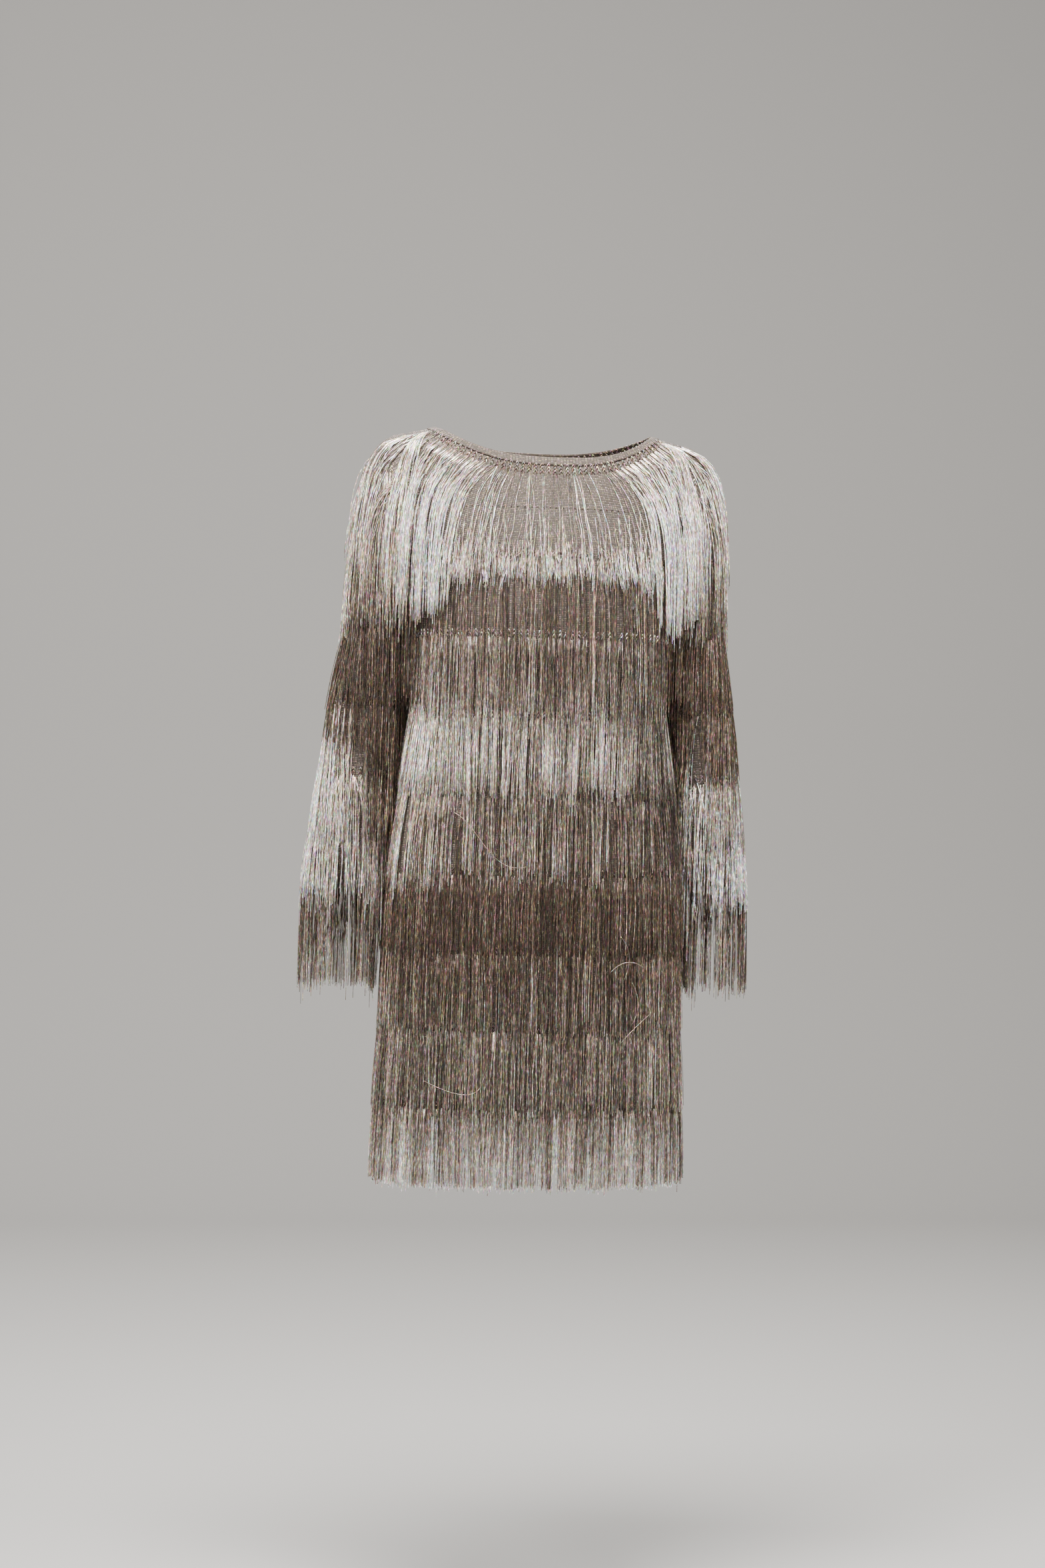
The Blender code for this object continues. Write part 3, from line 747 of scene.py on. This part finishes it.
def addKnots(threads, points, reach, knotAt, row, seed):
    # each knot is a thread doubled over its stitch, which shows as a small pointed loop
    made = np.random.default_rng(seed)
    for height, size in row.get("knotRows", knotLook["rows"]):
        at = knotAt + made.normal(0, 0.35, len(knotAt))
        roots, edge, down = rowWays(points, reach, at)
        up = -down
        spots, normals = nearestWall(roots + up * height)
        outline = [(-1, -1, 0.1), (-0.45, 0.3, 0.8), (0, 1, 1), (0.45, 0.3, 0.8), (1, -1, 0.1)]
        paths = np.stack([
            spots + edge * (a * knotLook["wide"] * size) + up * (b * knotLook["tall"] * size)
            + normals * (0.4 + c * knotLook["rise"] * size) for a, b, c in outline], 1)
        faces = np.repeat(normals[:, None], len(outline), axis=1)
        radii = np.full(paths.shape[:2], knotLook["radius"] * size)
        base = np.array(threadLook[row["knotTone"]])
        strength = np.exp(made.normal(0, 0.25, (len(at), 1, 1)))
        shades = np.clip(base * strength, 0, 0.95) + np.zeros(paths.shape)
        threads.addTubes(paths, faces, radii, shades)


def threadFinish(name, roughness, metallic):  # flashes and faint hues come and go along each thread
    finish = Finish(name, roughness, metallic)
    colour = finish.node("Attribute", {"attribute_name": "shade"}, {})
    uv = finish.node("UVMap", {"uv_map": "thread"}, {})
    luck = finish.node("SeparateXYZ", {}, {0: uv}, 0)
    distance = finish.node("SeparateXYZ", {}, {0: uv}, 1)
    place = finish.node("CombineXYZ", {}, {0: luck * 900.0, 1: distance * 190.0})
    flat = {"noise_dimensions": "2D"}
    noise = finish.node("TexNoise", flat, {"Vector": place, "Scale": 1.0, "Detail": 2.0})
    tint = finish.node("TexNoise", flat, {"Vector": place, "Scale": 0.9, "Detail": 0.0}, 1)
    flashes = [(0.28, 0.50), (0.50, 0.95), (0.60, 1.35), (0.68, 2.8)]
    flash = finish.node("ValToRGB", {"stops": flashes}, {0: noise})
    doubled = finish.mix(1.0, tint, shade(2, 2, 2), "MULTIPLY")
    tinted = finish.mix(1.0, flash, finish.mix(0.6, shade(1, 1, 1), doubled), "MULTIPLY")
    finish.feed("Base Color", finish.mix(1.0, colour, tinted, "MULTIPLY"))
    return finish.material


threadMaterials = {
    "silver": threadFinish("silver_thread", 0.28, 0.30),
    "brown": threadFinish("brown_thread", 0.36, 0.45),
    "taupe": threadFinish("taupe_thread", 0.34, 0.50),
}

# fringe

fringeLook = {
    "perKnot": 12,
    "bundle": 0.30,          # half width of a knot's threads at the root, as a share of the pitch
    "spread": 0.66,          # and further down
    "segments": 7,
    "slip": 0.010,           # turn towards the ground of a thread on the cloth, for each millimetre
    "stagger": 3.0,          # how far below the row roots may start
    "lift": (0.8, 3.6),      # rise of the tips off the cloth
    "lock": (3.0, 13.0),     # width of the locks that cling together, and how firmly
    "grip": (0.0, 0.50),
    "sway": 1.5,
    "wave": 0.75,
    "ragged": 9.0,           # unevenness of the ends
    "lean": 0.05,
    "bunch": 0.05,
    "stray": 0.06,           # share of threads that lie askew
    "keep": 0.90,            # share of threads that are there
    "patchy": 0.14,
    "contrast": 0.55,
    "toneSpread": 0.11,
    "tipGlow": 0.20,
}


def mirrored(stops, sign=1):  # the same stops on both sides of the middle
    return [(-place, sign * value) for place, value in stops[::-1] if place] + stops


def bodyFan(strength):  # leans outwards over the hips, front and back
    front = mirrored([(0, 0), (4, 0.25), (7.5, 1), (9.5, 0)], -1)
    back = [(19 - place, -share) for place, share in front[-2::-1]]
    return [(place, share * strength) for place, share in front + back]


def fringeRow(length, colour, changes):
    row = dict(fringeLook)
    row.update(length=length, tone=[(0, colour), (1, colour)], knotTone=colour)
    row.update(changes)
    return row


def finishFringe(threads, node, colour):
    mesh = threads.makeMesh("threads_" + node)
    return addPiece("threads_" + node, mesh, threadMaterials[colour], colour + "_fringe", [node])


# Places round the body count columns: 0 is the middle of the front, 9.5 the right side, 19 the middle behind.
bodyTiers = {
    # piece and node: height, length, colour of the threads, and what differs from fringeLook
    "fringe_3": (-250, 182, "silver", {
        "tone": [(0, "mid"), (0.42, "mid"), (0.60, "pale"), (1, "silver")], "ragged": 14.0,
        "knotTone": "pale", "tipGlow": 0.35, "fanAt": bodyFan(0.13), "toneSpread": 0.2,
        "gainAt": [(-9.5, 0.9), (-6.5, 1.2), (-3, 0.75), (3, 0.62), (5, 0.25), (9.5, 0.25), (12, 0.7),
                   (28.5, 0.9)]}),
    "fringe_4": (-344, 182, "silver", {
        "tone": [(0, "silver"), (0.5, "mid"), (0.85, "mid"), (1, "silver")], "ragged": 16.0, "keep": 0.72,
        "contrast": 0.7, "patchy": 0.28, "tipGlow": 0.6, "lock": (4.0, 16.0), "grip": (0.1, 0.70),
        "fanAt": bodyFan(0.15),
        "gainAt": [(-9.5, 0.9), (-6.5, 1.1), (-3, 0.7), (3, 0.6), (5, 0.22), (9.5, 0.22), (12, 0.7),
                   (28.5, 0.9)],
        "lengthAt": [(-9.5, 198), (-6, 196), (-4, 184), (4, 178), (9.5, 184), (28.5, 198)]}),
    "fringe_5": (-437, 182, "brown", {"fanAt": bodyFan(0.10), "contrast": 0.5, "ragged": 12.0}),
    "fringe_6": (-528, 182, "brown", {
        "tone": [(0, "brown"), (0.6, "brown"), (1, "taupe")], "contrast": 0.6, "fanAt": bodyFan(0.05),
        "ragged": 11.0, "gainAt": [(3.5, 1), (4.5, 1.5), (7, 1.5), (8.5, 1)]}),
    "fringe_7": (-620, 182, "taupe", {
        "tone": [(0, "brown"), (0.3, "brown"), (0.55, "taupe"), (1, "taupe")], "fanAt": bodyFan(0.04),
        "gainAt": [(3.5, 1), (4.5, 1.5), (7, 1.5), (8.5, 1)]}),
    "fringe_8": (-710, 180, "taupe", {
        "tone": [(0, "taupe"), (0.6, "taupe"), (0.8, "mid"), (1, "mid")], "perKnot": 12, "keep": 0.97,
        "ragged": 4.0, "patchy": 0.05, "lock": (5.0, 15.0), "grip": (0.1, 0.65), "contrast": 0.8}),
    "fringe_9": (-801, 92, "brown", {
        "tone": [(0, "brown"), (0.3, "mid"), (0.75, "pale"), (1, "pale")], "segments": 6, "perKnot": 14,
        "keep": 0.92, "ragged": 3.0, "patchy": 0.0, "lean": 0.035, "contrast": 1.1,
        "gainAt": [(-9.5, 0.7), (-7, 2.0), (8, 2.0), (9.5, 0.8)]}),
}


def ringAround(z):
    reach = bodyCut["sideColumn"]
    columns = np.linspace(-reach, reach, 120)
    front = panelPoint(-1, columns, z + 0 * columns)
    back = panelPoint(1, columns[::-1], z + 0 * columns)
    return np.concatenate([front, back[1:]]), np.concatenate([columns, 2 * reach + columns[1:]])


curledThreads = {
    # single threads that curl over the front of a piece: x and height along each
    "fringe_1_front": [
        [(38, -127), (52, -146), (70, -163)], [(86, -124), (98, -146), (103, -163)],
        [(-30, -139), (-42, -152), (-58, -164)], [(-12, -120), (0, -140), (-14, -160)]],
    "fringe_4": [
        [(-111, -457), (-86, -482), (-61.5, -511), (-26, -518)], [(-120, -395), (-134, -420), (-128, -452)]],
    "fringe_6": [
        [(88, -598), (99, -620), (94, -648)], [(76, -640), (96, -628), (118, -634)],
        [(104, -652), (112, -676), (106, -700)], [(128, -690), (110, -704), (92, -722)]],
    "fringe_8": [[(-138, -770), (-90, -784), (-71, -764)]],
}


curlLook = {
    "rise": 7.5,
    "arch": 1.5,
    "thin": 0.7,
    "bright": 1.6,
}


def addCurls(threads, curls):
    share = np.linspace(0, 1, 15)
    for curl in curls:
        given = np.array(curl, float)
        places = np.linspace(0, 1, len(given))
        x, z = (np.polyval(np.polyfit(places, given[:, k], len(given) - 1), share) for k in range(2))
        y = -depthAt(-1, x, z) - curlLook["rise"] - curlLook["arch"] * np.sin(math.pi * share)
        paths = np.stack([x, y, z], -1)[None]
        faces = np.zeros_like(paths) + np.array([0, -1.0, 0])
        shades = np.zeros_like(paths) + np.array(threadLook["mid"]) * curlLook["bright"]
        radii = np.full(paths.shape[:2], threadLook["radius"] * curlLook["thin"])
        threads.addTubes(paths, faces, radii, shades)


for number, (node, (z, length, colour, changes)) in enumerate(bodyTiers.items()):
    threads = Threads()
    points, places = ringAround(z)
    addFringeRow(threads, points, places, fringeRow(length, colour, changes), 100 * number + 1000)
    addCurls(threads, curledThreads.get(node, []))
    finishFringe(threads, node, colour)
print("body tiers hung")

yokeFringe = {
    "neckDrop": 10.0,        # way from the panel's edge to the row of knots
    "reach": 8.45,
    "yokeRow": -99.0,
    "yokeReach": 7.6,
    "endRow": -138.0,        # short ends that close the yoke above the chest tier
    "chestRow": -158.0,
    "chestReach": 8.6,
}

neckRowLook = {
    "segments": 12, "perKnot": 14, "lift": (0.6, 3.4), "ragged": 8.0, "knotTone": "mid", "tipGlow": 0.2,
    "knotRows": [(0.5, 1.15), (4.8, 1.15), (9.2, 1.1), (13.4, 1.0), (17.2, 0.9)], "bunch": 0.08, "lean": 0.07,
    "stray": 0.08,
    "tone": [(0, "taupe"), (0.12, "mid"), (0.3, "pale"), (0.75, "pale"), (1, "silver")], "grip": (0.1, 0.6),
    "contrast": 0.6,
    "gainAt": mirrored([(4, 0.55), (5, 1.5), (7, 1.4), (8.5, 0.6)]),
    "keepAt": mirrored([(3.6, 0.16), (4.8, 0.40), (5.6, 0.95), (8.5, 0.75)]),
    "lengthAt": [(-8.5, 208), (-7, 214), (-5.6, 192), (-4.4, 166), (-3.5, 130), (0, 120),
                 (3.5, 130), (4.4, 182), (5.6, 208), (7, 222), (8.5, 208)],
    "fanAt": [(-8.5, -0.04), (-7.2, -0.18), (-6, -0.38), (-4.6, -0.56), (-3.6, -0.28), (0, 0),
              (3.6, 0.28), (4.6, 0.58), (6, 0.44), (7.2, 0.26), (8.5, 0.06)],
    "slipAt": mirrored([(0, 0.0040), (4, 0.0014), (6, 0.0024), (7.6, 0.0035), (8.5, 0.0025)]),
    "liftAt": mirrored([(5, 0), (7.0, 2.0), (8.5, 4.5)]),
}

shoulderRowLook = {
    "segments": 12, "perKnot": 24, "bundle": 0.5, "lift": (3.5, 7.5), "ragged": 14.0, "knotTone": "pale",
    "tone": [(0, "silver"), (0.5, "pale"), (1, "silver")], "knotRows": [], "lean": 0.2, "slip": 0.0045,
    "contrast": 0.7, "grip": (0.0, 0.25),
    "keepAt": mirrored([(8.5, 0.9), (8.8, 0.8), (8.95, 0.1), (9.1, 0.1), (9.25, 0.8), (9.5, 0.9)]),
    "fanAt": mirrored([(8.5, 0.7), (8.85, 1.0), (9.2, 2.2), (9.5, 2.6)], -1),
    "lengthAt": mirrored([(8.5, 205), (9.5, 175)]),
}

yokeRowLook = {
    "segments": 5, "perKnot": 8, "keep": 0.2, "lift": (0.2, 1.4), "ragged": 7.0, "knotTone": "taupe",
    "stagger": 26.0, "tone": [(0, "taupe"), (0.4, "silver"), (1, "pale")], "tipGlow": 0.3,
    "knotRows": [(0.5, 0.6)], "lean": 0.10, "bunch": 0.10,
}

yokeEndLook = {
    "segments": 4, "perKnot": 13, "bundle": 0.5, "keep": 0.85, "lift": (1.5, 4.5), "ragged": 10.0,
    "knotTone": "silver", "tone": [(0, "taupe"), (0.45, "mid"), (0.8, "pale"), (1, "pale")], "tipGlow": 0.3,
    "knotRows": [], "lean": 0.12, "stagger": 18.0,
}

chestRowLook = {
    "tone": [(0, "brown"), (0.6, "brown"), (1, "mid")], "ragged": 20.0, "keep": 0.7,
    "contrast": 0.7,
}


def neckRow(side):
    columns = np.linspace(-yokeFringe["reach"], yokeFringe["reach"], 160)
    if side > 0:
        columns = columns[::-1]
    z = panelTop(side, columns)
    last = panelPoint(side, columns, z)
    gone = np.zeros(len(columns))
    while (gone < yokeFringe["neckDrop"]).any():
        z = np.where(gone < yokeFringe["neckDrop"], z - 0.5, z)
        point = panelPoint(side, columns, z)
        gone += np.linalg.norm(point - last, axis=1)
        last = point
    return last, columns


def shoulderRow(side, hand):
    columns = hand * np.linspace(bodyCut["neckColumn"], bodyCut["sideColumn"], 12)
    return panelPoint(side, columns, panelTop(side, columns) - 3.0), columns


def panelRow(side, z, reach):
    columns = np.linspace(-reach, reach, 120)
    if side > 0:
        columns = columns[::-1]
    return panelPoint(side, columns, z + 0 * columns), columns


for side, word in ((-1, "front"), (1, "back")):
    threads = Threads()
    seed = 3000 + 100 * side
    addFringeRow(threads, *neckRow(side), fringeRow(180, "silver", neckRowLook), seed)
    for hand in (-1, 1):
        look = fringeRow(190, "silver", shoulderRowLook)
        addFringeRow(threads, *shoulderRow(side, hand), look, seed + 20 + 5 * hand)
    yokeRow = panelRow(side, yokeFringe["yokeRow"], yokeFringe["yokeReach"])
    addFringeRow(threads, *yokeRow, fringeRow(78, "silver", yokeRowLook), seed + 40)
    endRow = panelRow(side, yokeFringe["endRow"], yokeFringe["yokeReach"])
    addFringeRow(threads, *endRow, fringeRow(36, "silver", yokeEndLook), seed + 55)
    addCurls(threads, curledThreads["fringe_1_front"] if side < 0 else [])
    finishFringe(threads, "fringe_1_" + word, "silver")
    threads = Threads()
    chestRow = panelRow(side, yokeFringe["chestRow"], yokeFringe["chestReach"])
    addFringeRow(threads, *chestRow, fringeRow(180, "brown", chestRowLook), seed + 70)
    finishFringe(threads, "fringe_2_" + word, "brown")
print("yoke and chest tiers hung")

# Places round a sleeve count its sixteen columns: 0 is the inner side, 4 the front and 8 the outer side.
sleeveTiers = {
    # tier: height, length, first and last column, colour, and what differs from fringeLook on each sleeve
    "fringe_1": (-58, 182, 5.0, 11.0, "silver", {
        "segments": 11, "ragged": 16.0, "tipGlow": 0.3, "lift": (2.0, 5.5), "lean": 0.08,
        "gainAt": [(5, 0.45), (7, 0.6), (8, 0.9), (11, 0.7)]}, {}, {
        "gainAt": [(5, 0.4), (7, 0.45), (8, 0.65), (11, 0.6)]}),
    "fringe_2": (-154, 172, 2.5, 13.5, "brown", {"segments": 9, "ragged": 14.0, "contrast": 0.5}, {
        "gainAt": [(0, 0.85)]}, {"gainAt": [(0, 1.35)]}),
    "fringe_3": (-242, 166, 0, 16, "brown", {"ragged": 14.0, "contrast": 0.5}, {
        "lengthAt": [(0, 166), (3.4, 166), (4.6, 152), (6, 134), (9, 130), (11, 166), (16, 166)],
        "gainAt": [(0, 0.8)],
    }, {
        "gainAt": [(0, 1.35)],
        "partings": [(3.5, 0.9, 0.10)], "lengthAt": [(0, 166), (2.2, 166), (3.5, 132), (4.8, 160), (16, 166)],
    }),
    "fringe_4": (-332, 158, 0, 16, "silver", {
        "otherTone": [(0, "brown"), (1, "brown")], "knotTone": "mid", "ragged": 18.0, "stagger": 10.0,
        "tone": [(0, "taupe"), (0.2, "silver"), (0.4, "pale"), (1, "pale")]}, {
        "otherAt": [(0, 1), (4.2, 1), (5.6, 0.35), (6.4, 0), (10, 0), (12, 1), (16, 1)],
        "partings": [(4.7, 0.8, 0.20)],
        "keepAt": [(0, 0.92), (3.6, 0.9), (4.5, 0.45), (5.2, 0.55), (6.2, 0.92), (16, 0.92)],
    }, {
        "otherAt": [(0, 1), (2.4, 0.9), (3.2, 0.25), (3.9, 0.25), (4.6, 0.8), (7, 0.8), (8, 0.2), (10, 0.9),
                    (16, 1)],
        "partings": [(3.5, 0.9, 0.24)], "keepAt": [(0, 0.92), (3.0, 0.8), (3.5, 0.5), (4.0, 0.8), (16, 0.92)],
    }),
    "fringe_5": (-414, 140, 0, 16, "silver", {
        "knotTone": "mid", "otherTone": [(0, "brown"), (1, "taupe")], "lean": 0.14, "ragged": 18.0,
        "tone": [(0, "mid"), (0.25, "pale"), (1, "pale")], "bunch": 0.10, "stray": 0.10, "stagger": 18.0,
        "lengthAt": [(0, 184), (2.2, 170), (3.2, 134), (8, 140), (11, 184), (16, 184)]}, {
        "otherAt": [(0, 1), (2.4, 0.8), (4.2, 0.4), (5.2, 0), (9.5, 0), (12, 0.8), (16, 1)],
        "partings": [(4.4, 1.2, 0.14)], "gainAt": [(0, 1), (2, 0.9), (4.6, 0.7), (6, 1), (16, 1)],
    }, {
        "otherAt": [(0, 1), (2.0, 0.9), (2.8, 0.2), (3.4, 0), (9.0, 0), (12, 0.8), (16, 1)],
        "partings": [(3.5, 1.2, 0.18)], "gainAt": [(0, 1), (2.4, 1), (3.2, 1.8), (9, 1.8), (12, 1), (16, 1)],
    }),
    "fringe_6": (-494, 168, 0, 16, "taupe", {
        "tone": [(0, "brown"), (1, "taupe")], "perKnot": 14, "contrast": 0.7,
        "keepAt": [(0, 1), (2.4, 1), (3.3, 0.42), (4.8, 0.42), (5.8, 1), (16, 1)]}, {}, {}),
}

for hand, word in ((-1, "left"), (1, "right")):
    for number, (tier, values) in enumerate(sleeveTiers.items()):
        z, length, first, last, colour, common, onLeft, onRight = values
        turns = np.linspace(first, last, 90)
        points = sleevePoint(hand, turns, z + 0 * turns)
        if hand < 0:
            points, turns = points[::-1] * np.array([-1, 1, 1]), turns[::-1]
        changes = {"lock": (3.0, 9.0), **common, **(onLeft if hand < 0 else onRight)}
        threads = Threads()
        look = fringeRow(length, colour, changes)
        addFringeRow(threads, points, turns, look, 5000 + 1000 * hand + 50 * number)
        finishFringe(threads, word + "_" + tier, colour)
print("sleeve tiers hung, triangles of fringe in all:", sum(tally))

# camera, floor and light

cameraSet = {
    "azimuth": -10.0,        # degrees round the dress
    "distance": 3.5,
    "aside": -0.015,
    "height": -0.422,
    "roll": 1.42,
    "frameHeight": 1.8816,   # metres that the frame shows at the dress
}

azimuth = math.radians(cameraSet["azimuth"])
rightWay = Vector((math.cos(azimuth), math.sin(azimuth), 0))
lookWay = Vector((-math.sin(azimuth), math.cos(azimuth), 0))
camera = bpy.data.objects.new("camera", bpy.data.cameras.new("camera"))
scene.collection.objects.link(camera)
camera.location = (rightWay * cameraSet["aside"] - lookWay * cameraSet["distance"]
                   + Vector((0, 0, cameraSet["height"])))
camera.rotation_mode = "QUATERNION"
level = Euler((math.pi / 2, 0, azimuth)).to_quaternion()
camera.rotation_quaternion = level @ Quaternion((0, 0, 1), math.radians(cameraSet["roll"]))
camera.data.sensor_width = 36
camera.data.lens = 36 * cameraSet["distance"] / cameraSet["frameHeight"]
camera.data.clip_end = 30
scene.camera = camera

studio = {
    "floor": -1.42,
    "back": 3.1,
    "front": -6.0,
    "half": 6.0,
    "sweep": 1.2,            # radius of the curve from the floor to the wall
    "top": 4.0,
    "shade": (0.50, 0.49, 0.475),
}


def addStudio():
    bm = bmesh.new()
    start = bm.verts.new((-studio["half"], studio["front"], studio["floor"]))
    bend = bm.verts.new((-studio["half"], studio["back"], studio["floor"]))
    bm.edges.new((start, bend))
    turn = bmesh.ops.spin(bm, geom=[bend], cent=(0, studio["back"], studio["floor"] + studio["sweep"]),
                          axis=(1, 0, 0), angle=math.pi / 2, steps=24)
    lastVert = [item for item in turn["geom_last"] if isinstance(item, bmesh.types.BMVert)][0]
    top = bm.verts.new((-studio["half"], lastVert.co.y, studio["top"]))
    bm.edges.new((lastVert, top))
    grown = bmesh.ops.extrude_edge_only(bm, edges=bm.edges[:])
    moved = [item for item in grown["geom"] if isinstance(item, bmesh.types.BMVert)]
    bmesh.ops.translate(bm, verts=moved, vec=(2 * studio["half"], 0, 0))
    bmesh.ops.recalc_face_normals(bm, faces=bm.faces)
    mesh = bpy.data.meshes.new("studio")
    bm.to_mesh(mesh)
    bm.free()
    mesh.shade_smooth()
    finish = Finish("studio_paper", 0.9, 0.0)
    finish.shader.inputs["Base Color"].default_value = shade(*studio["shade"])
    mesh.materials.append(finish.material)
    floor = bpy.data.objects.new("studio", mesh)
    scene.collection.objects.link(floor)


def addLight(name, place, target, size, power, tint):
    light = bpy.data.lights.new(name, "AREA")
    light.shape = "RECTANGLE"
    light.size, light.size_y = size
    light.energy = power
    light.color = tint
    item = bpy.data.objects.new(name, light)
    item.location = place
    item.rotation_mode = "QUATERNION"
    item.rotation_quaternion = (Vector(target) - Vector(place)).to_track_quat("-Z", "Y")
    scene.collection.objects.link(item)


lights = {
    # place, what it points at, size, power and tint
    "key_left": ((-2.0, -1.8, 1.3), (0, 0, -0.3), (1.0, 1.6), 100, (1.0, 0.97, 0.935)),
    "key_right": ((2.0, -1.7, 1.3), (0, 0, -0.3), (1.0, 1.6), 58, (1.0, 0.97, 0.935)),
    "overhead": ((-0.3, -0.9, 2.0), (0, 0, -0.1), (1.3, 0.8), 210, (1.0, 0.975, 0.945)),
    "back_fill": ((0, 1.5, 1.6), (0, 0, -0.3), (2.4, 1.0), 55, (1.0, 1.0, 1.0)),
}
air = {"colour": (1.0, 0.985, 0.965), "strength": 0.30}

addStudio()
for name, values in lights.items():
    addLight(name, *values)
world = bpy.data.worlds.new("studio_air")
world.use_nodes = True
background = world.node_tree.nodes["Background"]
background.inputs["Color"].default_value = shade(*air["colour"])
background.inputs["Strength"].default_value = air["strength"]
scene.world = world
print("camera, floor and light set")
